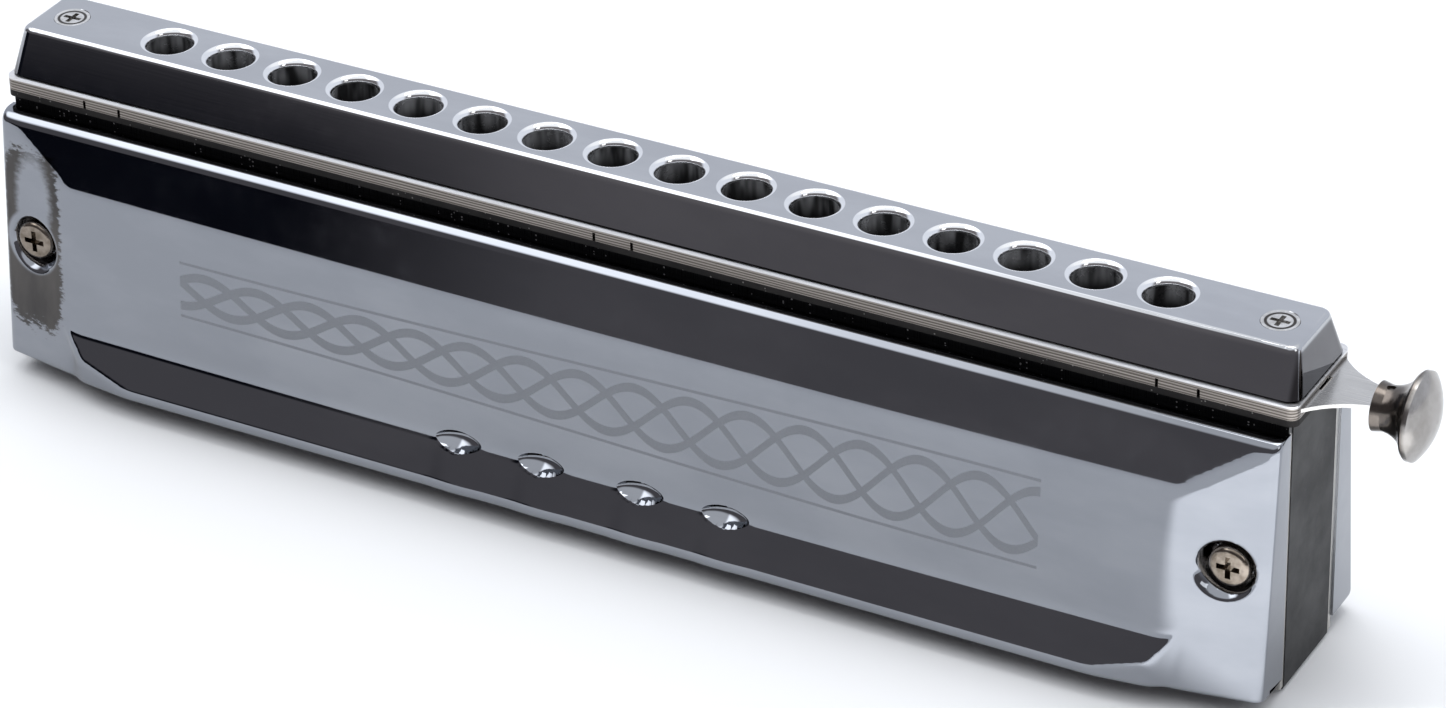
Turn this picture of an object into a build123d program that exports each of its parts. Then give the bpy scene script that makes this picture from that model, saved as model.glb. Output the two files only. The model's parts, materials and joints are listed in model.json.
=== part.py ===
"""Sixteen-hole chromatic harmonica, as an assembly of its separate pieces.

Millimetres. The origin is the centre of the comb's back face, which it stands on. +X runs along the
instrument to the slide button, -Y is the front cover's side and +Z points out of the mouthpiece.
"""
import os
from math import cos, radians, sin

from build123d import *

os.makedirs("parts", exist_ok=True)

# Rows of holes and reeds
HOLES = 16
HOLE_PITCH = 9.5
ROW_X = 0.45
HOLE_RADIUS = 3.0
HOLE_LIP = 0.82
CELL_PITCH = HOLE_PITCH / 2
CELL_WIDTH = 3.55
TRAVEL = CELL_PITCH

# Heights of the stack, from the comb's back face up
COMB_TOP = 38.2
GASKET_TOP = 39.1
BACK_PLATE_TOP = 39.66
RAIL_TOP = 40.24
FRONT_PLATE_TOP = 41.0
STACK_TOP = 41.2
MOUTH_TOP = 47.2

# Comb and reed plates
COMB_HALF_X = 91.0
COMB_HALF_Y = 6.55
CELL_TOP = 36.2
CELL_BOTTOM_BASS = 5.5
CELL_BOTTOM_TREBLE = 19.5
CELL_INNER_Y = 0.75
WINDOW_Y = (1.15, 5.45)
WINDOW_WIDTH = 3.3
PLATE_HALF_X = 90.9
PLATE_BOTTOM = 0.6
PLATE_TOP = 38.15
PLATE_OUTER_Y = 7.6

# Reeds, rivets and valves
REED_WIDTH = 2.1
REED_THICK = 0.25
SLOT_WIDTH = 2.2
PAD_WIDTH = 2.6
PAD_LENGTH = 2.6
RIVET_RADIUS = 0.6
RIVET_HEAD_RADIUS = 0.9
RIVET_HEAD = 0.35
VALVE_WIDTH = 2.9
VALVE_THICK = 0.15

# Slide stack and mouthpiece
STACK_HALF_X = 91.9
STACK_HALF_Y = 8.0
CHANNEL_HALF_Y = 6.68
BLADE_HALF_Y = 6.6
BLADE_CLEAR_Z = 0.04
BLADE_LEFT = -85.3
NECK = ((STACK_HALF_X, 6.55), (94.4, 4.2), (98.9, 2.2))
TONGUE_END = 101.6
TAB_X = (-76.7, 0.0, 76.7)
TAB_LENGTH = 5.0
TAB_DEPTH = 0.8
GASKET_INSET = 1.3
MOUTH_SCREW_X = 86.1
MOUTH_SCREW_RADIUS = 1.0
MOUTH_SCREW_HEAD_RADIUS = 2.35
MOUTH_SCREW_TIP = 29.0
BUMPER_RADIUS = 1.25
SLOT_HALF_Y = 1.6
STOP_GAP = 0.3

# Return spring
SPRING_X = -89.9
SPRING_BEND_RADIUS = 1.0
SPRING_WIRE_RADIUS = 0.22
SPRING_TIP_X = -85.6
POST_RADIUS = 0.75

# Slide button
BUTTON_Z = 39.0
COLLAR_X = 98.9
COLLAR_RADIUS = 3.1
BUTTON_RIM_X = 103.8
BUTTON_RIM_RADIUS = 5.55
BUTTON_TIP_X = 106.3
BUTTON_PIN_X = 100.4
BUTTON_PIN_RADIUS = 0.55

# Covers, drawn for the front one
SHEET = 0.6
COVER_HALF_X = 91.2
COVER_LOW = 2.5
COVER_TOP = 37.1
TOP_EDGE_Y = -10.9
PANEL_Y = -13.6
PANEL_LEAN = 0.09
UPPER_CREASE_Z = 28.9
LOWER_CREASE_Z = 9.6
PANEL_HALF_X = 79.7
END_DROP = 1.85
RIM_KINK_X = 70.3
RIM_END_X = 77.6
RIM_END_Y = -16.8
RIM_Y = -17.2
RIM_Z = 3.05
RIM_RADIUS = 0.75
VENT_X = (-19.5, -7.3, 7.1, 19.3)
VENT_LENGTH = 6.8
VENT_WIDTH = 2.8

# Cover screws and nuts
COVER_SCREW_X = 86.0
COVER_SCREW_Z = 20.0
COVER_SCREW_RADIUS = 1.2
COVER_HEAD_RADIUS = 2.7
COVER_HEAD_HEIGHT = 1.75
BOWL_FLOOR_Y = -11.3
BOWL_FLOOR_RADIUS = 3.0
BOWL_RADIUS = 4.1
NUT_SLEEVE_RADIUS = 1.75

# Reed plate screws: four near the corners and three along the back edge
PLATE_SCREWS = [(x, z) for x in (-80.5, 80.5) for z in (8.0, 30.0)] + [(x, 2.75) for x in (-48.0, 0.0, 48.0)]
PLATE_SCREW_RADIUS = 0.8
PLATE_SCREW_HEAD_RADIUS = 1.7
PLATE_SCREW_HEAD = 0.9
PLATE_SCREW_DEPTH = 4.0

HOLE_XS = [ROW_X + (i - (HOLES - 1) / 2) * HOLE_PITCH for i in range(HOLES)]
BLADE_Z = (BACK_PLATE_TOP + RAIL_TOP) / 2
BASE = (Align.CENTER, Align.CENTER, Align.MIN)


def block(x, y, z):
    """Box between two limits on each axis."""
    centre = Pos((x[0] + x[1]) / 2, (y[0] + y[1]) / 2, (z[0] + z[1]) / 2)
    return centre * Box(abs(x[1] - x[0]), abs(y[1] - y[0]), abs(z[1] - z[0]))


def rod_y(radius, x, z, y_from, y_to):
    """Cylinder along Y."""
    return Plane(origin=(x, y_from, z), z_dir=(0, y_to - y_from, 0)) * Cylinder(radius, abs(y_to - y_from), align=BASE)


def rod_z(radius, x, y, z_from, z_to):
    """Cylinder along Z."""
    return Pos(x, y, z_from) * Cylinder(radius, z_to - z_from, align=BASE)


def mirrored(shape):
    """The rear piece that matches a front one."""
    return mirror(shape, about=Plane.XZ)


def save(shape, node):
    """Write one node."""
    shape.label = node
    export_step(shape, f"parts/{node}.step")


def save_pair(front, name):
    """Write a front piece and its rear twin."""
    save(mirrored(front), f"rear_{name}")
    save(front, f"front_{name}")


def cells():
    """Every cell's middle X, its bottom Z and whether its reed sounds on blowing."""
    count = 2 * HOLES
    for k in range(count):
        bottom = CELL_BOTTOM_BASS + (CELL_BOTTOM_TREBLE - CELL_BOTTOM_BASS) * k / (count - 1)
        yield ROW_X + (k - (count - 1) / 2) * CELL_PITCH, bottom, k % 2 == 0


def cell_windows(z_from, z_to):
    """Four air windows behind each hole, through a plate."""
    return [
        block((x - WINDOW_WIDTH / 2, x + WINDOW_WIDTH / 2), (side * WINDOW_Y[0], side * WINDOW_Y[1]), (z_from, z_to))
        for x, _, _ in cells()
        for side in (-1, 1)
    ]


def hole_windows(z_from, z_to):
    """One oblong window behind each hole, wide enough for its four cells."""
    return [block((x - 3.95, x + 3.95), (-4.9, 4.9), (z_from, z_to)) for x in HOLE_XS]


def stack_plate(z_from, z_to):
    """Round-cornered strip as long as the slide casing."""
    outline = RectangleRounded(2 * STACK_HALF_X, 2 * STACK_HALF_Y, 1.2)
    return Pos(0, 0, z_from) * extrude(outline, z_to - z_from)


def mouth_screw_holes(radius, z_from, z_to):
    """Holes for the two mouthpiece screws."""
    return [rod_z(radius, side * MOUTH_SCREW_X, 0, z_from, z_to) for side in (-1, 1)]


def tab_notches(depth, length, z_from, z_to):
    """Edge notches, or the tabs that fill them, on both long sides."""
    return [
        block((x - length / 2, x + length / 2), (side * (STACK_HALF_Y - depth), side * STACK_HALF_Y), (z_from, z_to))
        for x in TAB_X
        for side in (-1, 1)
    ]


def cross_recess(size, depth):
    """Cross-shaped driver recess that opens at Z = 0 and goes down."""
    arm = Pos(0, 0, -depth) * Box(size, size * 0.24, depth, align=BASE)
    return arm + Rot(0, 0, 90) * arm


def mouthpiece():
    """Sloping-sided bar with a row of lipped holes and two sunk screw seats."""
    foot = Plane.XY.offset(STACK_TOP) * RectangleRounded(183.4, 14.8, 1.8)
    brow = Plane.XY.offset(MOUTH_TOP) * RectangleRounded(181.2, 10.5, 1.5)
    bar = loft([foot, brow])
    bar = fillet(bar.faces().sort_by(Axis.Z)[-1].edges(), 0.7)
    bar -= [rod_z(HOLE_RADIUS, x, 0, STACK_TOP, MOUTH_TOP) for x in HOLE_XS]
    rims = bar.faces().sort_by(Axis.Z)[-1].edges().filter_by(GeomType.CIRCLE)
    bar = fillet([edge for edge in rims if abs(edge.radius - HOLE_RADIUS) < 0.01], HOLE_LIP)
    bar -= hole_windows(STACK_TOP, STACK_TOP + 1.6)
    bar -= mouth_screw_holes(MOUTH_SCREW_RADIUS + 0.1, STACK_TOP, MOUTH_TOP)
    sink = Cone(MOUTH_SCREW_RADIUS + 0.1, MOUTH_SCREW_HEAD_RADIUS + 0.1, 1.4, align=(Align.CENTER, Align.CENTER, Align.MAX))
    return bar - [Pos(side * MOUTH_SCREW_X, 0, MOUTH_TOP) * sink for side in (-1, 1)]


def mouthpiece_screws():
    """Countersunk screws that clamp the mouthpiece and the slide stack to the comb."""
    head = Cone(MOUTH_SCREW_RADIUS, MOUTH_SCREW_HEAD_RADIUS, 1.3, align=(Align.CENTER, Align.CENTER, Align.MAX))
    screw = Pos(0, 0, MOUTH_TOP - 0.05) * (head - cross_recess(2.5, 0.8))
    screw += rod_z(MOUTH_SCREW_RADIUS, 0, 0, MOUTH_SCREW_TIP, MOUTH_TOP - 1.34)
    return Compound([Pos(side * MOUTH_SCREW_X, 0, 0) * screw for side in (-1, 1)])


def slide_blade():
    """Flat slide: a zigzag of windows, a fork at the spring end and a necked tongue for the button."""
    low = BACK_PLATE_TOP + BLADE_CLEAR_Z
    high = RAIL_TOP - BLADE_CLEAR_Z
    upper = Polyline((BLADE_LEFT, 0), (BLADE_LEFT, BLADE_HALF_Y), (STACK_HALF_X - 0.05, BLADE_HALF_Y), NECK[0])
    neck = Spline(*NECK)
    tongue = Polyline(NECK[-1], (TONGUE_END, NECK[-1][1]), (TONGUE_END, 0), (BLADE_LEFT, 0))
    half = make_face([*upper.edges(), neck, *tongue.edges()])
    blade = Pos(0, 0, low) * extrude(half + mirror(half, about=Plane.XZ), high - low)
    steps = [(x - CELL_PITCH / 2, -1) for x in HOLE_XS + [HOLE_XS[-1] + HOLE_PITCH]]
    steps += [(x + CELL_PITCH / 2, 1) for x in HOLE_XS]
    for x, side in steps:
        blade -= block(
            (x - WINDOW_WIDTH / 2, x + WINDOW_WIDTH / 2), (side * WINDOW_Y[0], side * WINDOW_Y[1]), (low, high)
        )
    reach = BUMPER_RADIUS + STOP_GAP
    fork = (BLADE_LEFT, -MOUTH_SCREW_X + reach + TRAVEL)
    slot = (MOUTH_SCREW_X - reach, MOUTH_SCREW_X + reach + TRAVEL)
    blade -= [block(span, (-SLOT_HALF_Y, SLOT_HALF_Y), (low, high)) for span in (fork, slot)]
    return blade - rod_z(BUTTON_PIN_RADIUS, BUTTON_PIN_X, 0, low, high)


def slide_button():
    """Trumpet-flared thumb button with a collar, slotted for the slide's tongue."""
    start = (COLLAR_X, COLLAR_RADIUS)
    flare = Spline(
        (COLLAR_X + 1.2, COLLAR_RADIUS - 0.25), (COLLAR_X + 3.0, 3.4), (BUTTON_RIM_X - 0.3, BUTTON_RIM_RADIUS - 0.25)
    )
    rim = Polyline(flare @ 1, (BUTTON_RIM_X, BUTTON_RIM_RADIUS), (BUTTON_RIM_X + 0.6, BUTTON_RIM_RADIUS))
    tip = (BUTTON_TIP_X, 0)
    dome = TangentArc(tip, rim @ 1, tangent=(0, 1))
    close = Polyline(tip, (COLLAR_X, 0), start, flare @ 0)
    outline = make_face([flare, *rim.edges(), dome, *close.edges()])
    button = Pos(0, 0, BUTTON_Z) * revolve(outline, axis=Axis.X)
    low = BACK_PLATE_TOP + BLADE_CLEAR_Z
    high = RAIL_TOP - BLADE_CLEAR_Z
    slot = block((COLLAR_X - 1, TONGUE_END), (-NECK[-1][1], NECK[-1][1]), (low, high))
    return button - [slot, rod_z(BUTTON_PIN_RADIUS, BUTTON_PIN_X, 0, BUTTON_Z - 4, BUTTON_Z + 4)]


def slide_spring():
    """Hairpin wire bent round a post, its legs bearing on the slide's fork."""
    bend = [
        (SPRING_X + SPRING_BEND_RADIUS * cos(radians(a)), SPRING_BEND_RADIUS * sin(radians(a))) for a in (135, 180, 225)
    ]
    reach = SPRING_TIP_X - bend[0][0]
    tip = bend[0][1] + reach
    path = Line((SPRING_TIP_X, tip), bend[0]) + ThreePointArc(*bend) + Line(bend[2], (SPRING_TIP_X, -tip))
    path = Pos(0, 0, BLADE_Z) * path
    section = Plane(origin=path @ 0, z_dir=path % 0) * Circle(SPRING_WIRE_RADIUS)
    return sweep(section, path=path)


def comb():
    """Moulded core: two rows of sounding cells back to back, each open to a reed plate and to the slide."""
    core = block((-COMB_HALF_X, COMB_HALF_X), (-COMB_HALF_Y, COMB_HALF_Y), (0, COMB_TOP))
    core = fillet(core.edges().filter_by(Axis.Y).group_by(Axis.Z)[0], 0.6)
    half = CELL_WIDTH / 2
    core -= [
        block((x - half, x + half), (side * CELL_INNER_Y, side * COMB_HALF_Y), (bottom, CELL_TOP))
        for x, bottom, _ in cells()
        for side in (-1, 1)
    ]
    core -= cell_windows(CELL_TOP, COMB_TOP)
    core -= mouth_screw_holes(MOUTH_SCREW_RADIUS, MOUTH_SCREW_TIP, COMB_TOP)
    core -= [
        rod_y(PLATE_SCREW_RADIUS, x, z, side * COMB_HALF_Y, side * (COMB_HALF_Y - PLATE_SCREW_DEPTH))
        for x, z in PLATE_SCREWS
        for side in (-1, 1)
    ]
    return core - [rod_y(1.4, s * COVER_SCREW_X, COVER_SCREW_Z, -COMB_HALF_Y, COMB_HALF_Y) for s in (-1, 1)]


def slot_span(bottom, blows):
    """Low and high end of a reed slot, and its rivet's height."""
    if blows:
        return bottom + 1.2, CELL_TOP - 3.4, CELL_TOP - 1.9
    return bottom + 3.5, CELL_TOP - 1.2, bottom + 1.9


def reed_plate():
    """Plated brass plate with a slot and a rivet hole for every reed."""
    inner, outer = -COMB_HALF_Y, -PLATE_OUTER_Y
    plate = block((-PLATE_HALF_X, PLATE_HALF_X), (inner, outer), (PLATE_BOTTOM, PLATE_TOP))
    cuts = []
    for x, bottom, blows in cells():
        low, high, rivet_z = slot_span(bottom, blows)
        cuts.append(block((x - SLOT_WIDTH / 2, x + SLOT_WIDTH / 2), (inner, outer), (low, high)))
        cuts.append(rod_y(RIVET_RADIUS, x, rivet_z, inner, outer))
    cuts += [rod_y(PLATE_SCREW_RADIUS + 0.1, x, z, inner, outer) for x, z in PLATE_SCREWS]
    cuts += [rod_y(1.5, side * COVER_SCREW_X, COVER_SCREW_Z, inner, outer) for side in (-1, 1)]
    return plate - cuts


def reeds(want_blow):
    """The blow reeds on the cell side of the front plate, or the draw reeds on its outer side."""
    face = -COMB_HALF_Y if want_blow else -PLATE_OUTER_Y - REED_THICK
    made = []
    for x, bottom, blows in cells():
        if blows != want_blow:
            continue
        low, high, rivet_z = slot_span(bottom, blows)
        tongue = (low + 0.1, rivet_z) if blows else (rivet_z, high - 0.1)
        reed = block((x - REED_WIDTH / 2, x + REED_WIDTH / 2), (face, face + REED_THICK), tongue)
        pad = (rivet_z - PAD_LENGTH / 2, rivet_z + PAD_LENGTH / 2)
        reed += block((x - PAD_WIDTH / 2, x + PAD_WIDTH / 2), (face, face + REED_THICK), pad)
        made.append(reed - rod_y(RIVET_RADIUS, x, rivet_z, face, face + REED_THICK))
    return Compound(made)


def reed_rivets():
    """One two-headed rivet for each reed on the front plate."""
    made = []
    for x, bottom, blows in cells():
        rivet_z = slot_span(bottom, blows)[2]
        inner = -COMB_HALF_Y + (REED_THICK if blows else 0)
        outer = -PLATE_OUTER_Y - (0 if blows else REED_THICK)
        rivet = rod_y(RIVET_RADIUS, x, rivet_z, inner, outer)
        rivet += rod_y(RIVET_HEAD_RADIUS, x, rivet_z, inner, inner + RIVET_HEAD)
        made.append(rivet + rod_y(RIVET_HEAD_RADIUS, x, rivet_z, outer, outer - RIVET_HEAD))
    return Compound(made)


def valves(over_blow):
    """Thin flaps over the free side of the slots: outside for blow reeds, inside for draw reeds."""
    face = -PLATE_OUTER_Y - VALVE_THICK if over_blow else -COMB_HALF_Y
    made = []
    for x, bottom, blows in cells():
        if blows != over_blow:
            continue
        low, high, _ = slot_span(bottom, blows)
        span = (low - 0.5, high + 0.1) if blows else (low - 0.2, high + 0.5)
        made.append(block((x - VALVE_WIDTH / 2, x + VALVE_WIDTH / 2), (face, face + VALVE_THICK), span))
    return Compound(made)


def plate_screws():
    """Pan-head screws that hold the front reed plate to the comb."""
    made = []
    for x, z in PLATE_SCREWS:
        head = rod_y(PLATE_SCREW_HEAD_RADIUS, x, z, -PLATE_OUTER_Y, -PLATE_OUTER_Y - PLATE_SCREW_HEAD)
        head -= Plane(origin=(x, -PLATE_OUTER_Y - PLATE_SCREW_HEAD, z), z_dir=(0, -1, 0)) * cross_recess(1.8, 0.5)
        tip = -COMB_HALF_Y + PLATE_SCREW_DEPTH
        made.append(head + rod_y(PLATE_SCREW_RADIUS, x, z, -PLATE_OUTER_Y, tip))
    return Compound(made)


def carve(solid, faces, inset):
    """Keep what lies behind every face, each a point and an outward normal, moved in by inset."""
    for point, normal in faces:
        outward = Vector(*normal).normalized()
        solid = split(solid, Plane(origin=Vector(*point) - outward * inset, z_dir=outward), keep=Keep.BOTTOM)
    return solid


def panel_y(z):
    """Y of the front panel's face at a height: it leans outward from the upper crease down."""
    return PANEL_Y - PANEL_LEAN * (UPPER_CREASE_Z - z)


def cover_body(inset, overrun):
    """Facetted main body of a cover. The overrun carries a cavity out through the open back and bottom."""
    raw = block(
        (-COVER_HALF_X + inset, COVER_HALF_X - inset),
        (panel_y(COVER_LOW) - 1, -PLATE_OUTER_Y + overrun),
        (COVER_LOW - overrun, COVER_TOP - inset),
    )
    crease = (0, PANEL_Y, UPPER_CREASE_Z)
    fall = END_DROP / (COVER_HALF_X - PANEL_HALF_X)
    faces = [
        (crease, (0, UPPER_CREASE_Z - COVER_TOP, TOP_EDGE_Y - PANEL_Y)),
        (crease, (0, -1, PANEL_LEAN)),
    ]
    for side in (-1, 1):
        faces.append(((side * PANEL_HALF_X, PANEL_Y, UPPER_CREASE_Z), (side * fall, -1, PANEL_LEAN)))
    return carve(raw, faces, inset)


def cover_flare(inset, overrun):
    """Back of a cover that flares out from the lower crease to the rim, tapered in two steps at both ends."""
    floor = RIM_Z - (overrun + RIM_Z if overrun else 0)
    raw = block((-PANEL_HALF_X, PANEL_HALF_X), (RIM_Y - 2, -PLATE_OUTER_Y - 2), (floor, LOWER_CREASE_Z))
    edge_y = RIM_Y - RIM_RADIUS * 0.8
    crease_y = panel_y(LOWER_CREASE_Z)
    faces = [((0, crease_y, LOWER_CREASE_Z), (0, RIM_Z - LOWER_CREASE_Z, crease_y - edge_y))]
    for side in (-1, 1):
        taper = (side * (RIM_END_Y - edge_y), RIM_KINK_X - RIM_END_X, 0)
        drop = (side * (panel_y(RIM_Z) - RIM_END_Y), RIM_END_X - PANEL_HALF_X, 0)
        faces += [((side * RIM_END_X, RIM_END_Y, 0), taper), ((side * RIM_END_X, RIM_END_Y, 0), drop)]
    return carve(raw, faces, inset)


def rim_roll():
    """Rolled bead along the open back edge of a cover."""
    step = RIM_RADIUS * 0.8
    points = [
        Vector(-PANEL_HALF_X + 0.5, panel_y(RIM_Z) + step, RIM_Z),
        Vector(-RIM_END_X, RIM_END_Y + step, RIM_Z),
        Vector(-RIM_KINK_X, RIM_Y, RIM_Z),
    ]
    points += [Vector(-p.X, p.Y, p.Z) for p in reversed(points)]
    pieces = []
    for a, b in zip(points, points[1:]):
        pieces.append(Plane(origin=a, z_dir=b - a) * Cylinder(RIM_RADIUS, (b - a).length, align=BASE))
    pieces += [Pos(*p) * Sphere(RIM_RADIUS) for p in points]
    bead = pieces[0]
    for piece in pieces[1:]:
        bead += piece
    return bead


def cover():
    """Folded sheet cover: upper facet, flat panel, sloped ends with screw bowls, vents and a flared back."""
    body = cover_body(0, 0)
    shell = body + cover_flare(0, 0)
    shell -= cover_body(SHEET, 4)
    shell -= cover_flare(SHEET, 4)
    shell += rim_roll()
    for side in (-1, 1):
        x = side * COVER_SCREW_X
        boss = rod_y(BOWL_RADIUS + 0.4, x, COVER_SCREW_Z, BOWL_FLOOR_Y + SHEET, PANEL_Y - 2)
        shell += boss & body
        seat = Plane(origin=(x, BOWL_FLOOR_Y, COVER_SCREW_Z), z_dir=(0, -1, 0))
        shell -= seat * Cone(BOWL_FLOOR_RADIUS, BOWL_RADIUS + 0.35, 2.6, align=BASE)
        shell -= rod_y(NUT_SLEEVE_RADIUS + 0.1, x, COVER_SCREW_Z, BOWL_FLOOR_Y - 1, BOWL_FLOOR_Y + 2)
    for x in VENT_X:
        middle = (x, panel_y(LOWER_CREASE_Z), LOWER_CREASE_Z - 0.4)
        mouth = Plane(origin=middle, x_dir=(1, 0, 0), z_dir=(0, -1, 0.3))
        shell -= mouth * extrude(Ellipse(VENT_LENGTH / 2, VENT_WIDTH / 2), 1.6, both=True)
    return shell


def cover_screws():
    """Long pan-head screws from the front cover right through to the rear nuts."""
    head = Cylinder(COVER_HEAD_RADIUS, COVER_HEAD_HEIGHT, align=BASE)
    head = fillet(head.edges().group_by(Axis.Z)[-1], 0.7) - Pos(0, 0, COVER_HEAD_HEIGHT) * cross_recess(3.0, 0.9)
    made = []
    for side in (-1, 1):
        x = side * COVER_SCREW_X
        screw = Plane(origin=(x, BOWL_FLOOR_Y, COVER_SCREW_Z), z_dir=(0, -1, 0)) * head
        made.append(screw + rod_y(COVER_SCREW_RADIUS, x, COVER_SCREW_Z, BOWL_FLOOR_Y, -BOWL_FLOOR_Y))
    return Compound(made)


def cover_nuts():
    """Sleeve nuts in the rear cover's bowls."""
    head = Cylinder(COVER_HEAD_RADIUS, COVER_HEAD_HEIGHT, align=BASE)
    head = fillet(head.edges().group_by(Axis.Z)[-1], 0.7) - Pos(0, 0, COVER_HEAD_HEIGHT) * cross_recess(3.0, 0.6)
    made = []
    for side in (-1, 1):
        x = side * COVER_SCREW_X
        nut = Plane(origin=(x, -BOWL_FLOOR_Y, COVER_SCREW_Z), z_dir=(0, 1, 0)) * head
        nut += rod_y(NUT_SLEEVE_RADIUS, x, COVER_SCREW_Z, PLATE_OUTER_Y + 0.1, -BOWL_FLOOR_Y)
        made.append(nut - rod_y(COVER_SCREW_RADIUS, x, COVER_SCREW_Z, PLATE_OUTER_Y, -BOWL_FLOOR_Y))
    return Compound(made)


def build():
    """Make and write every node."""
    save(mouthpiece(), "mouthpiece")
    save(mouthpiece_screws(), "mouthpiece_screws")

    clear = MOUTH_SCREW_RADIUS + 0.1
    strip = RectangleRounded(2 * (STACK_HALF_X - GASKET_INSET), 2 * (STACK_HALF_Y - GASKET_INSET), 1.2)
    gasket = Pos(0, 0, FRONT_PLATE_TOP) * extrude(strip, STACK_TOP - FRONT_PLATE_TOP)
    gasket -= hole_windows(FRONT_PLATE_TOP, STACK_TOP)
    save(gasket - mouth_screw_holes(clear, FRONT_PLATE_TOP, STACK_TOP), "mouthpiece_gasket")

    front = stack_plate(RAIL_TOP, FRONT_PLATE_TOP) - hole_windows(RAIL_TOP, FRONT_PLATE_TOP)
    front -= mouth_screw_holes(clear, RAIL_TOP, FRONT_PLATE_TOP)
    for tab in tab_notches(TAB_DEPTH, TAB_LENGTH, GASKET_TOP, FRONT_PLATE_TOP):
        front += tab
    save(front, "slide_front_plate")

    rails = stack_plate(BACK_PLATE_TOP, RAIL_TOP)
    channel = (-STACK_HALF_X + 0.4, STACK_HALF_X)
    rails -= block(channel, (-CHANNEL_HALF_Y, CHANNEL_HALF_Y), (BACK_PLATE_TOP, RAIL_TOP))
    notch = (TAB_DEPTH + 0.1, TAB_LENGTH + 0.8)
    save(rails - tab_notches(*notch, BACK_PLATE_TOP, RAIL_TOP), "slide_rails")

    back = stack_plate(GASKET_TOP, BACK_PLATE_TOP) - cell_windows(GASKET_TOP, BACK_PLATE_TOP)
    back -= mouth_screw_holes(clear, GASKET_TOP, BACK_PLATE_TOP)
    save(back - tab_notches(*notch, GASKET_TOP, BACK_PLATE_TOP), "slide_back_plate")

    seal = stack_plate(COMB_TOP, GASKET_TOP) - cell_windows(COMB_TOP, GASKET_TOP)
    save(seal - mouth_screw_holes(clear, COMB_TOP, GASKET_TOP), "comb_gasket")

    save(slide_blade(), "slide")
    save(slide_button(), "slide_button")
    save(rod_z(BUTTON_PIN_RADIUS, BUTTON_PIN_X, 0, BUTTON_Z - 2.6, BUTTON_Z + 2.6), "button_pin")
    save(slide_spring(), "slide_spring")
    save(rod_z(POST_RADIUS, SPRING_X, 0, BACK_PLATE_TOP, RAIL_TOP), "spring_post")
    sleeve = rod_z(BUMPER_RADIUS, 0, 0, BACK_PLATE_TOP, RAIL_TOP) - rod_z(MOUTH_SCREW_RADIUS, 0, 0, 0, MOUTH_TOP)
    save(Compound([Pos(side * MOUTH_SCREW_X, 0, 0) * sleeve for side in (-1, 1)]), "slide_bumpers")

    save(comb(), "comb")
    save_pair(reed_plate(), "reed_plate")
    save_pair(reeds(True), "blow_reeds")
    save_pair(reeds(False), "draw_reeds")
    save_pair(reed_rivets(), "reed_rivets")
    save_pair(valves(True), "outer_valves")
    save_pair(valves(False), "inner_valves")
    save_pair(plate_screws(), "plate_screws")
    save_pair(cover(), "cover")
    save(cover_screws(), "cover_screws")
    save(cover_nuts(), "cover_nuts")


build()
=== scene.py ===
"""Looks for the chromatic harmonica: finished covers, plated metal, moulded comb, studio and camera."""
import json
from math import cos, hypot, radians, sin, sqrt

import bmesh
import bpy
from mathutils import Matrix, Vector


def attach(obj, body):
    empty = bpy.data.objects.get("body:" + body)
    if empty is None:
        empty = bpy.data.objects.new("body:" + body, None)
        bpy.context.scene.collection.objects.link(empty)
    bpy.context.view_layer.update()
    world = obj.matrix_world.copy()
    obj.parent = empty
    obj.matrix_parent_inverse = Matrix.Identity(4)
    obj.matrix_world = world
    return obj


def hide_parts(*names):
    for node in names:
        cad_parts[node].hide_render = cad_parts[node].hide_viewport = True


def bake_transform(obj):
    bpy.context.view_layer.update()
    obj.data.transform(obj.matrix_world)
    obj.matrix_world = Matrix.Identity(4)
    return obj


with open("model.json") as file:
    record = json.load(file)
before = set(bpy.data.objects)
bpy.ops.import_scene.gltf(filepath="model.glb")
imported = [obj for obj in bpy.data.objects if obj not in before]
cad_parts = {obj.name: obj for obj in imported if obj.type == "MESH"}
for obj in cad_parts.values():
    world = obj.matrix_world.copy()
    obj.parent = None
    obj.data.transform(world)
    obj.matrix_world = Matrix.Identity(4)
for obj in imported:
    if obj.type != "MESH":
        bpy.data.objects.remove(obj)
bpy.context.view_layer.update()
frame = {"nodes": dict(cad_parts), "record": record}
NODES = frame["nodes"]
MM = 0.001

# Cover sheet, in millimetres
HALF_X = 91.2
TOP_Z = 37.1
LOW_Z = 2.4
STRIP_Z = 3.1
PLATE_Y = 7.62
PANEL_Y = 13.6
PANEL_LEAN = 0.09
UPPER_Z = 28.9
PANEL_HALF_X = 79.7
END_SLOPE = 0.161
TOP_SLOPE = 0.33
CREASE_Z = 9.6
RIM_Y = 17.8
RIM_Z = 3.7
RIM_KINK_X = 70.3
RIM_END = (77.6, 16.9)
SCREW_X = 86.0
SCREW_Z = 20.0
BOWL_Y = 11.35
BOWL_FLOOR = 2.8
VENTS = (-19.5, -7.3, 7.1, 19.3)
VENT_Z = 9.2
VENT_HALF_X = 3.4
VENT_HALF_Z = 1.4
VENT_REACH = 4.5
SCOOP = 1.5
SHEET = 0.55
END_ROUND = 1.1
TOP_ROUND = 1.0
LOW_ROUND = 0.6

# Mouthpiece: hole row and its two screws
HOLE_PITCH = 9.5
ROW_X = 0.45
LIP_RADIUS = 3.82
MOUTH_SCREW_X = 86.1
MOUTH_SCREW_RADIUS = 1.75

# Return spring
SPRING_X = -89.9
SPRING_TIP_X = -85.6
SPRING_Z = 39.95
WIRE_RADIUS = 0.22


# ---------------------------------------------------------------- small helpers

def smooth_min(a, b, k):
    """Lower of two values, rounded over where they are within k of each other."""
    near = max(k - abs(a - b), 0) / k
    return min(a, b) - near * near * k / 4


def smooth_max(a, b, k):
    """Higher of two values, rounded over."""
    return -smooth_min(-a, -b, k)


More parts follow.
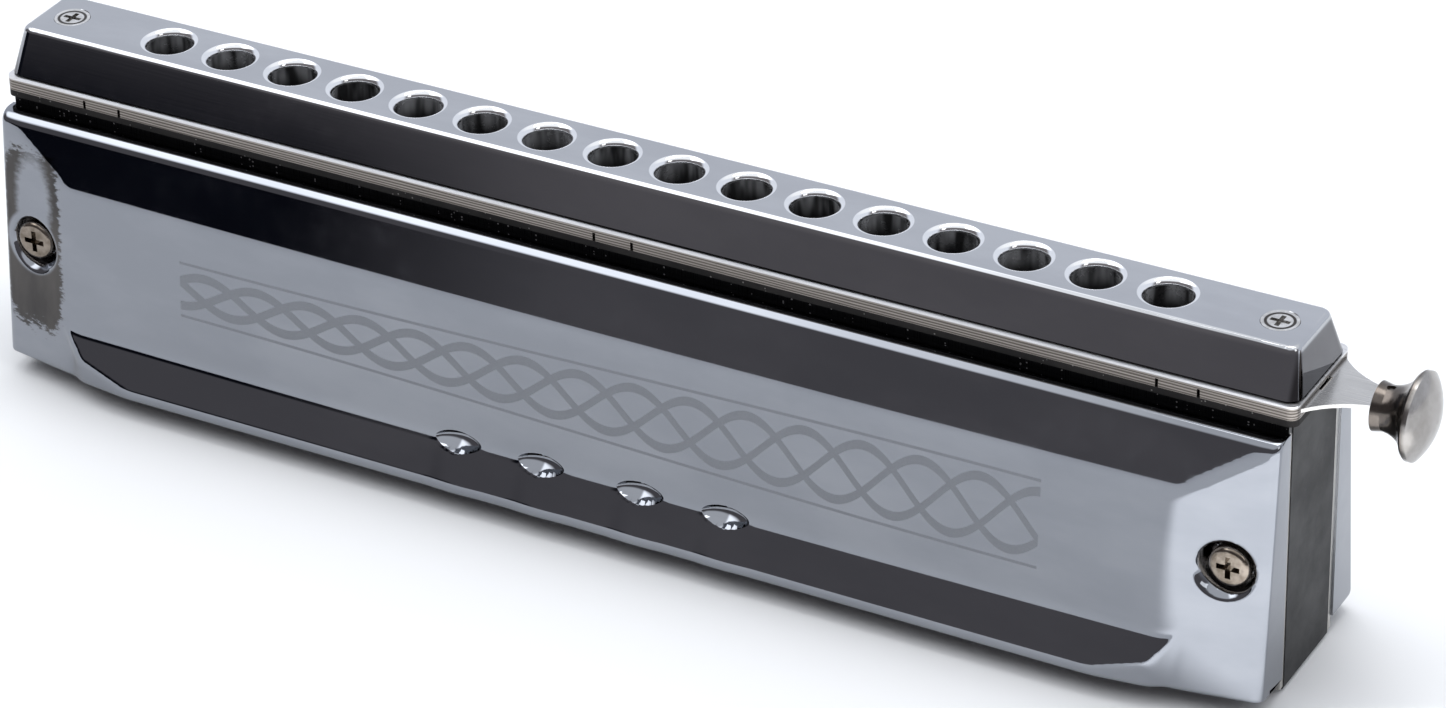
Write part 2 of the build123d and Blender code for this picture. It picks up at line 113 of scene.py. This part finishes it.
def smooth_step(t):
    """0 below 0, 1 above 1, with an easy curve between."""
    t = min(max(t, 0), 1)
    return t * t * (3 - 2 * t)


def round_off(distance, radius):
    """How far a quarter-round edge has dropped at this distance in from the edge."""
    if distance >= radius:
        return 0
    return radius - sqrt(max(radius * radius - (radius - max(distance, 0)) ** 2, 0))


def stations(*segments):
    """Positions along one axis, from (start, end, step) runs that follow each other."""
    values = []
    for start, end, step in segments:
        count = max(1, round(abs(end - start) / step))
        values += [start + (end - start) * i / count for i in range(count)]
    return values + [segments[-1][1]]


def edge_stations(edge, inside, count=8):
    """Positions that crowd together towards a rounded edge."""
    return [inside + (edge - inside) * sin(radians(90 * i / count)) for i in range(1, count + 1)]


def add_piece(name, bm, material, body, sharp_degrees=32):
    """Turn a bmesh in millimetres into a shaded piece, which rides on a body if one is named."""
    bmesh.ops.scale(bm, vec=(MM, MM, MM), verts=bm.verts)
    for face in bm.faces:
        face.smooth = True
    for edge in bm.edges:
        edge.smooth = len(edge.link_faces) == 2 and edge.calc_face_angle(0) < radians(sharp_degrees)
    mesh = bpy.data.meshes.new(name)
    bm.to_mesh(mesh)
    bm.free()
    piece = bpy.data.objects.new(name, mesh)
    bpy.context.scene.collection.objects.link(piece)
    mesh.materials.append(material)
    if body:
        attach(piece, body)
    return piece


# ---------------------------------------------------------------- materials

class Shader:
    """A principled material whose patterns are laid out in row-frame millimetres."""

    def __init__(self, name, **fixed):
        self.material = bpy.data.materials.new(name)
        self.material.use_nodes = True
        self.nodes = self.material.node_tree.nodes
        self.links = self.material.node_tree.links
        self.bsdf = self.nodes["Principled BSDF"]
        for socket, value in fixed.items():
            self.bsdf.inputs[socket.replace("_", " ")].default_value = value
        self.place = self.node("ShaderNodeTexCoord").outputs["Object"]

    def node(self, kind, **settings):
        made = self.nodes.new(kind)
        for key, value in settings.items():
            setattr(made, key, value)
        return made

    def feed(self, socket, value):
        if isinstance(value, bpy.types.NodeSocket):
            self.links.new(value, socket)
        else:
            socket.default_value = value

    def stretch(self, x, y, z):
        """Coordinates in millimetres, divided by these lengths."""
        mapping = self.node("ShaderNodeMapping", vector_type="POINT")
        mapping.inputs["Scale"].default_value = (1000 / x, 1000 / y, 1000 / z)
        self.links.new(self.place, mapping.inputs["Vector"])
        return mapping.outputs["Vector"]

    def noise(self, x, y, z, detail=3.0, roughness=0.5):
        """Noise from 0 to 1 with features about this many millimetres long on each axis."""
        made = self.node("ShaderNodeTexNoise")
        made.inputs["Scale"].default_value = 1.0
        made.inputs["Detail"].default_value = detail
        made.inputs["Roughness"].default_value = roughness
        self.links.new(self.stretch(x, y, z), made.inputs["Vector"])
        return made.outputs["Fac"]

    def specks(self, size, share):
        """1 on small scattered specks, 0 elsewhere."""
        made = self.node("ShaderNodeTexVoronoi")
        made.inputs["Scale"].default_value = 1.0
        self.links.new(self.stretch(size, size, size), made.inputs["Vector"])
        return self.span(made.outputs["Distance"], share, share * 0.6, 0, 1)

    def math(self, operation, a, b=0.0, c=0.0):
        made = self.node("ShaderNodeMath", operation=operation)
        for socket, value in zip(made.inputs, (a, b, c)):
            self.feed(socket, value)
        return made.outputs["Value"]

    def span(self, value, low, high, out_low, out_high, ease=True):
        """Map a range of values onto another, held at its ends."""
        made = self.node("ShaderNodeMapRange", interpolation_type="SMOOTHSTEP" if ease else "LINEAR")
        self.links.new(value, made.inputs["Value"])
        for socket, number in zip(("From Min", "From Max", "To Min", "To Max"), (low, high, out_low, out_high)):
            made.inputs[socket].default_value = number
        return made.outputs["Result"]

    def blend(self, share, a, b):
        """Colour a turning to colour b."""
        made = self.node("ShaderNodeMix", data_type="RGBA")
        self.feed(made.inputs["Factor"], share)
        self.feed(made.inputs[6], (*a, 1) if isinstance(a, tuple) else a)
        self.feed(made.inputs[7], (*b, 1) if isinstance(b, tuple) else b)
        return made.outputs[2]

    def axes(self):
        """X, Y and Z in millimetres."""
        made = self.node("ShaderNodeSeparateXYZ")
        self.links.new(self.stretch(1, 1, 1), made.inputs["Vector"])
        return made.outputs["X"], made.outputs["Y"], made.outputs["Z"]

    def oval(self, x, z, middle_x, middle_z, half_x, half_z, power):
        """Distance from a rounded oblong's middle, 1 on its outline."""
        total = None
        for value, middle, half in ((x, middle_x, half_x), (z, middle_z, half_z)):
            share = self.math("DIVIDE", self.math("ABSOLUTE", self.math("SUBTRACT", value, middle)), half)
            share = self.math("POWER", share, power)
            total = share if total is None else self.math("ADD", total, share)
        return self.math("POWER", total, 1 / power)

    def bump(self, *layers):
        """Stack of (height, depth in millimetres) reliefs on the surface."""
        normal = None
        for height, depth in layers:
            made = self.node("ShaderNodeBump")
            made.inputs["Distance"].default_value = depth * MM
            self.feed(made.inputs["Height"], height)
            if normal is not None:
                self.links.new(normal, made.inputs["Normal"])
            normal = made.outputs["Normal"]
        self.links.new(normal, self.bsdf.inputs["Normal"])

    def put(self, socket, value):
        self.links.new(value, self.bsdf.inputs[socket])


def plated_mouthpiece(name):
    """Bright plating with painted light and shade: a lighter top face than front, painted dark ends, painted
    highlight rings round the hole lips, and satin bores with painted shade towards the bottom.
    """
    m = Shader(name)
    x, y, z = m.axes()
    reach = m.math("ABSOLUTE", x)
    smudge = m.noise(22, 9, 9, 4.0, 0.6)
    bore = m.math("MULTIPLY", m.span(m.math("ABSOLUTE", y), 3.15, 3.25, 1, 0), m.span(z, 46.3, 46.6, 1, 0))
    bore = m.math("MULTIPLY", bore, m.span(reach, 80.0, 81.0, 1, 0))
    # Painted light: the top face gets a lighter copy of the plating colour than the front faces.
    top = m.span(z, 46.2, 46.9, 0, 1)
    # Painted shade: the end faces below the top get a much darker copy of the plating colour.
    end = m.math("MULTIPLY", m.span(reach, 90.2, 90.9, 0, 1), m.span(z, 46.2, 46.6, 1, 0))
    flat = m.blend(m.span(smudge, 0.35, 0.7, 0, 1), (0.46, 0.47, 0.49), (0.51, 0.52, 0.54))
    plate = m.blend(top, m.blend(m.span(smudge, 0.35, 0.7, 0, 1), (0.33, 0.34, 0.365), (0.37, 0.38, 0.405)), flat)
    plate = m.blend(end, plate, m.blend(smudge, (0.075, 0.075, 0.08), (0.16, 0.16, 0.17)))
    turn = m.math("FRACT", m.math("DIVIDE", m.math("SUBTRACT", x, ROW_X), HOLE_PITCH))
    across = m.math("MULTIPLY", m.math("SUBTRACT", turn, 0.5), HOLE_PITCH)
    ring = m.oval(across, y, 0, 0, LIP_RADIUS, LIP_RADIUS, 2.0)
    # Painted highlight: a pale ring drawn round each hole's lip.
    lip_highlight = m.math("MULTIPLY", m.span(ring, 0.96, 1.0, 1, 0), m.span(reach, 76.0, 76.5, 1, 0))
    plate = m.blend(lip_highlight, plate, m.blend(smudge, (0.74, 0.75, 0.77), (0.86, 0.87, 0.88)))
    streak = m.span(m.noise(1.6, 2.6, 9, 2.0, 0.5), 0.35, 0.65, 0, 1)
    wall = m.blend(streak, (0.05, 0.05, 0.052), (0.60, 0.61, 0.63))
    # Painted shade: the bore walls darken towards the bottom of each hole.
    wall = m.blend(m.span(z, 43.2, 45.8, 0, 1), (0.035, 0.035, 0.037), wall)
    m.put("Base Color", m.blend(bore, plate, wall))
    m.put("Metallic", m.span(bore, 0, 1, 1.0, 0.6))
    polish = m.span(m.math("MULTIPLY", smudge, m.noise(3, 3, 3, 5.0, 0.7)), 0.12, 0.5, 0.03, 0.09)
    m.put("Roughness", m.math("ADD", polish, m.math("MULTIPLY", bore, 0.22)))
    m.bump((m.noise(26, 14, 10, 1.0), 0.005), (m.noise(14, 0.3, 0.22, 2.0, 0.6), 0.0004))
    return m.material


def etched_cover(name):
    """Polished sheet with a satin-etched braid and a dark, ragged painted reflection at the front's far end from
    the button.
    """
    m = Shader(name, Metallic=1.0)
    x, y, z = m.axes()
    reach = m.math("ABSOLUTE", x)
    height = m.math("SUBTRACT", z, 19.9)
    swell = m.span(x, -62, 58, 2.3, 4.4)
    braid = None
    for phase in (0.0, 2.0944, 4.18879):
        strand = m.math("SINE", m.math("ADD", m.math("MULTIPLY", x, 0.2618), phase))
        away = m.math("ABSOLUTE", m.math("SUBTRACT", height, m.math("MULTIPLY", strand, swell)))
        line = m.span(away, 0.55, 0.75, 1, 0)
        braid = line if braid is None else m.math("MAXIMUM", braid, line)
    border = m.math("ABSOLUTE", m.math("SUBTRACT", m.math("ABSOLUTE", height), m.math("ADD", swell, 1.5)))
    mark = m.math("MAXIMUM", braid, m.span(border, 0.14, 0.26, 1, 0))
    mark = m.math("MULTIPLY", mark, m.span(reach, 61.8, 62.0, 1, 0))
    mark = m.math("MULTIPLY", mark, m.span(m.math("ABSOLUTE", y), 13.2, 13.3, 0, 1))
    grain = m.noise(0.16, 0.16, 0.16, 2.0)
    smudge = m.noise(22, 9, 9, 4.0, 0.6)
    plate = m.blend(m.span(smudge, 0.35, 0.7, 0, 1), (0.245, 0.258, 0.285), (0.275, 0.288, 0.315))
    # Painted reflection: a dark ragged mark at the front's far end, with a bright oval gap left in it, stands in
    # for a dark reflection.
    ragged = m.math("MULTIPLY", m.math("SUBTRACT", m.noise(1.3, 1.3, 0.5, 3.0, 0.7), 0.5), 0.55)
    outside = m.math("ADD", m.oval(x, z, -85.9, 20.5, 5.0, 12.8, 5.0), ragged)
    bright_gap = m.math("ADD", m.oval(x, z, -85.6, 26.0, 2.9, 6.2, 2.0), ragged)
    painted_reflection = m.math("MULTIPLY", m.span(outside, 0.93, 1.03, 1, 0), m.span(bright_gap, 0.8, 1.3, 0, 1))
    painted_reflection = m.math("MULTIPLY", painted_reflection, m.span(m.oval(x, z, -SCREW_X, SCREW_Z, 4.3, 4.3, 2.0), 0.95, 1.1, 0, 1))
    painted_reflection = m.math("MULTIPLY", painted_reflection, m.span(y, -9.5, -9.0, 0.9, 0))
    plate = m.blend(painted_reflection, plate, m.blend(m.noise(3, 3, 9, 3.0), (0.012, 0.010, 0.009), (0.10, 0.09, 0.08)))
    m.put("Base Color", m.blend(mark, plate, m.blend(grain, (0.185, 0.195, 0.215), (0.235, 0.245, 0.265))))
    polish = m.span(m.math("MULTIPLY", smudge, m.noise(3, 3, 3, 5.0, 0.7)), 0.12, 0.5, 0.025, 0.085)
    m.put("Roughness", m.math("ADD", polish, m.math("MULTIPLY", mark, 0.34)))
    m.bump(
        (m.noise(30, 20, 12, 1.0), 0.008),
        (m.noise(14, 0.3, 0.22, 2.0, 0.6), 0.0004),
        (m.math("MULTIPLY", mark, grain), 0.01),
    )
    return m.material


def brushed(name, dark, light, along="X", rough=0.28, depth=0.004):
    """Metal with fine straight grain."""
    m = Shader(name, Metallic=1.0)
    size = {"X": (30, 0.12, 0.12), "Y": (0.12, 30, 0.12), "Z": (0.12, 0.12, 30)}[along]
    grain = m.noise(*size, 3.0, 0.6)
    patch = m.noise(9, 5, 5, 4.0, 0.6)
    m.put("Base Color", m.blend(m.math("MULTIPLY", grain, m.span(patch, 0.3, 0.7, 0.7, 1.3)), dark, light))
    m.put("Roughness", m.span(grain, 0.2, 0.8, rough - 0.08, rough + 0.12))
    m.bump((grain, depth), (patch, 0.01))
    return m.material


def reed_plate_metal(name):
    """Milled plate with fine grain, with painted shade and dust specks along the strip that the covers leave bare.
    """
    m = Shader(name, Metallic=1.0)
    z = m.axes()[2]
    grain = m.noise(0.12, 0.12, 30, 3.0, 0.6)
    patch = m.noise(9, 5, 5, 4.0, 0.6)
    worn = m.math("MULTIPLY", grain, m.span(patch, 0.3, 0.7, 0.7, 1.3))
    clean = m.blend(worn, (0.44, 0.43, 0.40), (0.62, 0.60, 0.57))
    specks = m.specks(0.9, 0.16)
    # Painted shade: the bare strip between the cover's top edge and the mouthpiece is painted near black, with dust
    # specks on it.
    painted_shade = m.blend(patch, (0.006, 0.006, 0.007), (0.02, 0.02, 0.02))
    shade_and_dust = m.blend(specks, painted_shade, (0.5, 0.48, 0.46))
    m.put("Base Color", m.blend(m.span(z, 36.4, 36.8, 0, 1), clean, shade_and_dust))
    m.put("Roughness", m.span(grain, 0.2, 0.8, 0.22, 0.42))
    m.bump((grain, 0.004), (patch, 0.01))
    return m.material


def casing_steel(name):
    """Stamped strip steel: streaky layers with stains under a burnished top edge."""
    m = Shader(name, Metallic=1.0)
    z = m.axes()[2]
    grain = m.noise(40, 0.5, 0.07, 3.0, 0.6)
    patch = m.noise(9, 3, 2, 4.0, 0.6)
    wander = m.math("MULTIPLY", m.noise(18, 4, 1.5, 3.0), 0.35)
    layers = m.math("SINE", m.math("MULTIPLY", m.math("ADD", z, wander), 17.0))
    tone = m.math("MULTIPLY", m.span(layers, -0.6, 0.7, 0.25, 1), m.span(grain, 0.3, 0.7, 0.5, 1.1))
    sides = m.blend(tone, (0.045, 0.038, 0.032), (0.34, 0.31, 0.285))
    burnished = m.span(z, 40.62, 40.74, 0, 1)
    m.put("Base Color", m.blend(burnished, sides, m.blend(patch, (0.60, 0.60, 0.61), (0.74, 0.74, 0.75))))
    m.put("Roughness", m.span(grain, 0.2, 0.8, 0.22, 0.4))
    m.bump((grain, 0.006), (patch, 0.01))
    return m.material


def satin_nickel(name, dark, light, rough):
    """Blasted and plated metal with soft cloudy wear."""
    m = Shader(name, Metallic=1.0)
    cloud = m.noise(4, 4, 4, 5.0, 0.65)
    m.put("Base Color", m.blend(m.span(cloud, 0.3, 0.7, 0, 1), dark, light))
    m.put("Roughness", m.span(m.noise(0.5, 0.5, 0.5, 4.0, 0.7), 0.25, 0.75, rough - 0.06, rough + 0.08))
    m.bump((m.noise(0.25, 0.25, 0.25, 2.0), 0.004), (cloud, 0.01))
    return m.material


def screw_metal(name):
    """Nickel-plated heads, bright with a painted shadow ring round the rim on the mouthpiece, worn and warm on the
    covers.
    """
    m = Shader(name, Metallic=1.0)
    x, y, z = m.axes()
    cloud = m.noise(1.6, 1.6, 1.6, 5.0, 0.65)
    worn = m.blend(m.span(cloud, 0.3, 0.7, 0, 1), (0.14, 0.115, 0.09), (0.30, 0.26, 0.22))
    bright = m.blend(m.span(cloud, 0.3, 0.7, 0, 1), (0.50, 0.49, 0.47), (0.80, 0.79, 0.78))
    head = (MOUTH_SCREW_X, 0, MOUTH_SCREW_RADIUS, MOUTH_SCREW_RADIUS)
    # Painted shadow: a dark ring round the rim of each mouthpiece screw head.
    shadow_ring = m.math("ABSOLUTE", m.math("SUBTRACT", m.oval(m.math("ABSOLUTE", x), y, *head, 2.0), 1.0))
    bright = m.blend(m.span(shadow_ring, 0.06, 0.16, 1, 0), bright, (0.05, 0.045, 0.04))
    m.put("Base Color", m.blend(m.span(z, 44.0, 45.0, 0, 1), worn, bright))
    m.put("Roughness", m.span(m.noise(0.5, 0.5, 0.5, 4.0, 0.7), 0.25, 0.75, 0.12, 0.26))
    m.bump((m.noise(0.25, 0.25, 0.25, 2.0), 0.003), (m.noise(1.2, 1.2, 1.2, 2.0), 0.05))
    return m.material


def thumb_button(name):
    """Satin nickel, lighter on the face, with a dark, warm painted reflection round the neck."""
    m = Shader(name, Metallic=1.0)
    x = m.axes()[0]
    cloud = m.noise(3, 3, 3, 5.0, 0.65)
    # Painted reflection: the neck gets a dark, warm copy of the nickel colour, the face the lighter one.
    face_share = m.span(m.math("ADD", x, m.math("MULTIPLY", cloud, 0.5)), 103.9, 104.7, 0, 1)
    neck = m.blend(m.span(cloud, 0.3, 0.7, 0, 1), (0.105, 0.09, 0.08), (0.165, 0.145, 0.13))
    face = m.blend(m.span(cloud, 0.3, 0.7, 0, 1), (0.30, 0.285, 0.27), (0.39, 0.375, 0.36))
    m.put("Base Color", m.blend(face_share, neck, face))
    m.put("Roughness", m.span(m.noise(0.6, 0.6, 0.6, 4.0, 0.7), 0.25, 0.75, 0.15, 0.25))
    m.bump((m.noise(0.25, 0.25, 0.25, 2.0), 0.003), (m.noise(9, 0.2, 0.2, 2.0, 0.6), 0.002))
    return m.material


def moulded(name, dark, light, rough, dust=0.0, depth=0.006):
    """Satin moulded plastic or sheet rubber, with a fine bloom and stray dust."""
    m = Shader(name, Specular_IOR_Level=0.2)
    bloom = m.noise(12, 8, 8, 5.0, 0.65)
    colour = m.blend(m.span(bloom, 0.3, 0.7, 0, 1), dark, light)
    if dust:
        colour = m.blend(m.math("MULTIPLY", m.specks(1.1, 0.12), dust), colour, (0.5, 0.48, 0.46))
    m.put("Base Color", colour)
    m.put("Roughness", m.span(bloom, 0.3, 0.7, rough - 0.06, rough + 0.1))
    m.bump((m.noise(0.22, 0.22, 0.22, 3.0, 0.6), depth), (m.noise(6, 6, 6, 2.0), 0.02))
    return m.material


MATERIALS = {
    "chrome_mouthpiece": plated_mouthpiece("plated_mouthpiece"),
    "cover": etched_cover("polished_cover"),
    "screws": screw_metal("screw_metal"),
    "gasket": moulded("seal_sheet", (0.012, 0.011, 0.011), (0.03, 0.028, 0.027), 0.7, dust=0.35),
    "slide_metal": casing_steel("casing_steel"),
    "blade": brushed("slide_steel", (0.46, 0.45, 0.43), (0.62, 0.61, 0.60), "X", 0.2),
    "button": thumb_button("button_nickel"),
    "spring": satin_nickel("spring_wire", (0.35, 0.35, 0.35), (0.5, 0.5, 0.5), 0.3),
    "bumpers": moulded("stop_tube", (0.02, 0.02, 0.02), (0.04, 0.04, 0.04), 0.6),
    "comb": moulded("comb_plastic", (0.011, 0.011, 0.0115), (0.015, 0.015, 0.016), 0.46, dust=0.03, depth=0.003),
    "reed_plate": reed_plate_metal("reed_plate_metal"),
    "reeds": brushed("reed_brass", (0.58, 0.43, 0.20), (0.78, 0.62, 0.36), "Z", 0.24),
    "rivets": satin_nickel("rivet_brass", (0.5, 0.37, 0.18), (0.68, 0.53, 0.29), 0.3),
    "valves": moulded("valve_film", (0.55, 0.54, 0.50), (0.70, 0.69, 0.64), 0.5, depth=0.002),
}
for part in frame["record"]["subparts"]:
    for holder in NODES[part["node"]].material_slots:
        holder.material = MATERIALS[part["material_slot"]]


# ---------------------------------------------------------------- covers

def cover_depth(x, z):
    """Distance of the cover's outer face from the instrument's middle plane."""
    reach = abs(x)
    panel = PANEL_Y + PANEL_LEAN * (UPPER_Z - z) + 0.10 * (1 - (x / PANEL_HALF_X) ** 2)
    upper = PANEL_Y - (z - UPPER_Z) * TOP_SLOPE
    end = panel - (reach - PANEL_HALF_X) * END_SLOPE
    depth = smooth_min(smooth_min(panel, upper, 0.3), end, 0.35)
    crease_y = PANEL_Y + PANEL_LEAN * (UPPER_Z - CREASE_Z)
    crease = CREASE_Z + 0.35 * sum(max(0, 1 - ((x - v) / VENT_REACH) ** 2) ** 2 for v in VENTS)
    flare = crease_y + (crease - max(z, RIM_Z)) * (RIM_Y - crease_y) / (CREASE_Z - RIM_Z)
    taper = RIM_Y - (reach - RIM_KINK_X) * (RIM_Y - RIM_END[1]) / (RIM_END[0] - RIM_KINK_X)
    drop = RIM_END[1] - (reach - RIM_END[0]) * 0.55
    depth = smooth_max(depth, smooth_min(smooth_min(flare, taper, 0.2), drop, 0.3), 0.3)
    bowl = BOWL_Y + max(0, hypot(reach - SCREW_X, z - SCREW_Z) - BOWL_FLOOR) * 2.0
    depth = smooth_min(depth, bowl, 0.6)
    ends_and_top = round_off(HALF_X - reach, END_ROUND) + round_off(TOP_Z - z, TOP_ROUND)
    depth -= ends_and_top + round_off(z - LOW_Z, LOW_ROUND)
    return max(depth, PLATE_Y + 0.5)


def vent_radius(x, z, middle_x):
    """Distance from a vent's middle, as a share of the way to its almond outline."""
    across = abs(x - middle_x) / VENT_HALF_X
    up = abs(z - VENT_Z) / VENT_HALF_Z
    return (across ** 1.7 + up ** 1.7) ** (1 / 1.7)


def cut_vent(bm, side, middle_x):
    """Scoop an almond dimple in the sheet, open along its upper half."""
    near = [f for f in bm.faces if abs(f.calc_center_median().x - middle_x) < VENT_REACH]
    radii = {v: vent_radius(v.co.x, v.co.z, middle_x) for f in near for v in f.verts}
    inside = [f for f in near if sum(radii[v] for v in f.verts) < len(f.verts)]
    edge = {v for f in inside for v in f.verts if any(other not in inside for other in v.link_faces)}
    for vert in edge:
        grow = 1 / radii[vert]
        vert.co.x = middle_x + (vert.co.x - middle_x) * grow
        vert.co.z = VENT_Z + (vert.co.z - VENT_Z) * grow
    for vert in {v for f in inside for v in f.verts} - edge:
        vert.co.y -= side * SCOOP * (1 - radii[vert] ** 2) ** 0.8
    slot = [f for f in inside if f.calc_center_median().z > VENT_Z + 0.35 and all(radii[v] < 0.9 for v in f.verts)]
    bmesh.ops.delete(bm, geom=slot, context="FACES")


def cover(side, name, node):
    """Sheet cover with a flat panel, folded facets, screw bowls, vents and a rolled, flared back edge."""
    right = stations((0, 24, 0.3), (24, 68, 1.1), (68, 78.8, 0.4), (78.8, 80.6, 0.2), (80.6, 90.1, 0.3))
    right += edge_stations(HALF_X, 90.1, 9)
    xs = [-x for x in reversed(right[1:])] + right
    zs = list(reversed(edge_stations(TOP_Z, 35.6, 9)))
    zs += stations((35.6, 30.4, 0.8), (30.4, 27.6, 0.2), (27.6, 26.0, 0.75), (26.0, 14.6, 0.3), (14.6, 11.6, 0.8))
    zs += stations((11.2, 7.4, 0.17), (7.4, STRIP_Z, 0.35))
    bm = bmesh.new()
    grid = []
    strip = edge_stations(LOW_Z, STRIP_Z)
    for x in xs:
        column = [bm.verts.new((x, side * PLATE_Y, TOP_Z))]
        column += [bm.verts.new((x, side * cover_depth(x, z), z)) for z in zs + strip]
        curl = max(cover_depth(x, LOW_Z) - 1.1, PLATE_Y)
        column.append(bm.verts.new((x, side * curl, LOW_Z)))
        grid.append(column)
    for x, at in ((xs[0], 0), (xs[-1], len(grid) + 1)):
        wall = [bm.verts.new((x, side * PLATE_Y, v.co.z)) for v in grid[0 if at == 0 else -1]]
        grid.insert(at, wall)
    for left, near in zip(grid, grid[1:]):
        for row in range(len(left) - 1):
            bm.faces.new((left[row], left[row + 1], near[row + 1], near[row]))
    bmesh.ops.remove_doubles(bm, verts=bm.verts, dist=0.004)
    for middle_x in VENTS:
        cut_vent(bm, side, middle_x)
    bmesh.ops.recalc_face_normals(bm, faces=bm.faces)
    outward = max(bm.faces, key=lambda f: f.calc_area())
    if outward.normal.y * side < 0:
        bmesh.ops.reverse_faces(bm, faces=bm.faces)
    bmesh.ops.solidify(bm, geom=list(bm.faces), thickness=SHEET)
    piece = add_piece(name, bm, MATERIALS["cover"], "instrument", 40)
    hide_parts(node)


cover(-1, "front_cover_sheet", "front_cover")
cover(1, "rear_cover_sheet", "rear_cover")


def spring():
    """Hairpin wire of the slide's return spring."""
    bend = [(SPRING_X + cos(radians(a)), sin(radians(a))) for a in range(135, 226, 6)]
    reach = SPRING_TIP_X - bend[0][0]
    leg = [(reach * (1 - k / 12), reach * (1 - k / 12)) for k in range(12)]
    path = [(bend[0][0] + x, bend[0][1] + y) for x, y in leg] + bend
    path += [(bend[-1][0] + x, bend[-1][1] - y) for x, y in reversed(leg)]
    bm = bmesh.new()
    rings = []
    for i, (x, y) in enumerate(path):
        before, after = path[max(i - 1, 0)], path[min(i + 1, len(path) - 1)]
        along = Vector((after[0] - before[0], after[1] - before[1], 0)).normalized()
        across = Vector((-along.y, along.x, 0)) * WIRE_RADIUS
        turns = [radians(360 * k / 14) for k in range(14)]
        middle = Vector((x, y, SPRING_Z))
        rings.append([bm.verts.new(middle + across * cos(t) + Vector((0, 0, WIRE_RADIUS * sin(t)))) for t in turns])
    for near, far in zip(rings, rings[1:]):
        for k in range(14):
            bm.faces.new((near[k], near[k - 1], far[k - 1], far[k]))
    for ring in (rings[0], rings[-1]):
        bm.faces.new(ring)
    bmesh.ops.recalc_face_normals(bm, faces=bm.faces)
    piece = add_piece("return_spring", bm, MATERIALS["spring"], None, 50)
    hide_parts("slide_spring")
    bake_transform(piece)


spring()


# ---------------------------------------------------------------- studio

def studio():
    """Pale floor, two softboxes, a spot on the floor and a room that is light behind and dim in front."""
    bm = bmesh.new()
    bmesh.ops.create_grid(bm, x_segments=2, y_segments=2, size=3.0)
    mesh = bpy.data.meshes.new("floor")
    bm.to_mesh(mesh)
    bm.free()
    floor = bpy.data.objects.new("floor", mesh)
    floor.location = (0, 0, -0.0002)
    bpy.context.scene.collection.objects.link(floor)
    paper = Shader("floor_paper", Roughness=0.9, Specular_IOR_Level=0.1)
    paper.put("Base Color", paper.blend(paper.noise(90, 90, 90, 3.0), (0.84, 0.85, 0.86), (0.88, 0.89, 0.90)))
    mesh.materials.append(paper.material)

    pool = bpy.data.lights.new("pool_right", "SPOT")
    pool.energy = 22.0
    pool.spot_size = radians(15.8)
    pool.spot_blend = 0.06
    pool.shadow_soft_size = 0.004
    beam = bpy.data.objects.new("pool_right", pool)
    beam.location = (0.151, -0.083, 0.65)
    bpy.context.scene.collection.objects.link(beam)
    lamps = (
        ("softbox_top", (0.10, 0.25, 1.25), (0, 0, 0), 0.9, 0.5, 5.0),
        ("softbox_right", (1.1, -0.35, 0.75), (0.05, -0.02, 0), 0.35, 0.5, 1.0),
    )
    for name, place, aim, width, height, power in lamps:
        data = bpy.data.lights.new(name, "AREA")
        data.shape = "RECTANGLE"
        data.size = width
        data.size_y = height
        data.energy = power
        lamp = bpy.data.objects.new(name, data)
        lamp.location = place
        lamp.rotation_euler = (Vector(place) - Vector(aim)).to_track_quat("Z", "Y").to_euler()
        bpy.context.scene.collection.objects.link(lamp)

    world = bpy.data.worlds.new("studio")
    world.use_nodes = True
    nodes, links = world.node_tree.nodes, world.node_tree.links
    split = nodes.new("ShaderNodeSeparateXYZ")
    links.new(nodes.new("ShaderNodeTexCoord").outputs["Generated"], split.inputs["Vector"])

    def span(socket, low, high):
        made = nodes.new("ShaderNodeMapRange")
        made.interpolation_type = "SMOOTHSTEP"
        links.new(socket, made.inputs["Value"])
        made.inputs["From Min"].default_value = low
        made.inputs["From Max"].default_value = high
        return made.outputs["Result"]

    def blend(share, a, b):
        made = nodes.new("ShaderNodeMix")
        made.data_type = "RGBA"
        links.new(share, made.inputs["Factor"])
        for socket, value in ((made.inputs[6], a), (made.inputs[7], b)):
            if isinstance(value, bpy.types.NodeSocket):
                links.new(value, socket)
            else:
                socket.default_value = (*value, 1)
        return made.outputs[2]

    dim = (0.18, 0.17, 0.18)
    front = blend(span(split.outputs["X"], -0.505, -0.445), (0.008, 0.009, 0.015), dim)
    front = blend(span(split.outputs["Z"], 0.075, 0.115), front, dim)
    back = (0.84, 0.88, 0.97)
    room = blend(span(split.outputs["Y"], -0.15, 0.25), front, back)
    above = blend(span(split.outputs["X"], -0.47, -0.33), (3.4, 3.45, 3.55), (1.1, 1.12, 1.16))
    room = blend(span(split.outputs["Z"], 0.58, 0.80), room, above)
    links.new(room, nodes["Background"].inputs["Color"])
    bpy.context.scene.world = world
    bpy.context.scene.view_settings.view_transform = "Standard"


def camera():
    """Camera at the photograph's angle: above, in front and to the button's side, rolled a little."""
    yaw, pitch, roll = radians(29.771), radians(31.275), radians(-1.602)
    ahead = Vector((-sin(yaw) * cos(pitch), cos(yaw) * cos(pitch), -sin(pitch)))
    right = Vector((cos(yaw), sin(yaw), 0))
    up = right.cross(ahead)
    across = cos(roll) * right + sin(roll) * up
    above = -sin(roll) * right + cos(roll) * up
    data = bpy.data.cameras.new("camera")
    data.sensor_width = 36
    data.lens = 131.67
    view = bpy.data.objects.new("camera", data)
    turn = Matrix((across, above, -ahead)).transposed().to_4x4()
    view.matrix_world = Matrix.Translation((0.293037, -0.493554, 0.367354)) @ turn
    bpy.context.scene.collection.objects.link(view)
    bpy.context.scene.camera = view


studio()
camera()
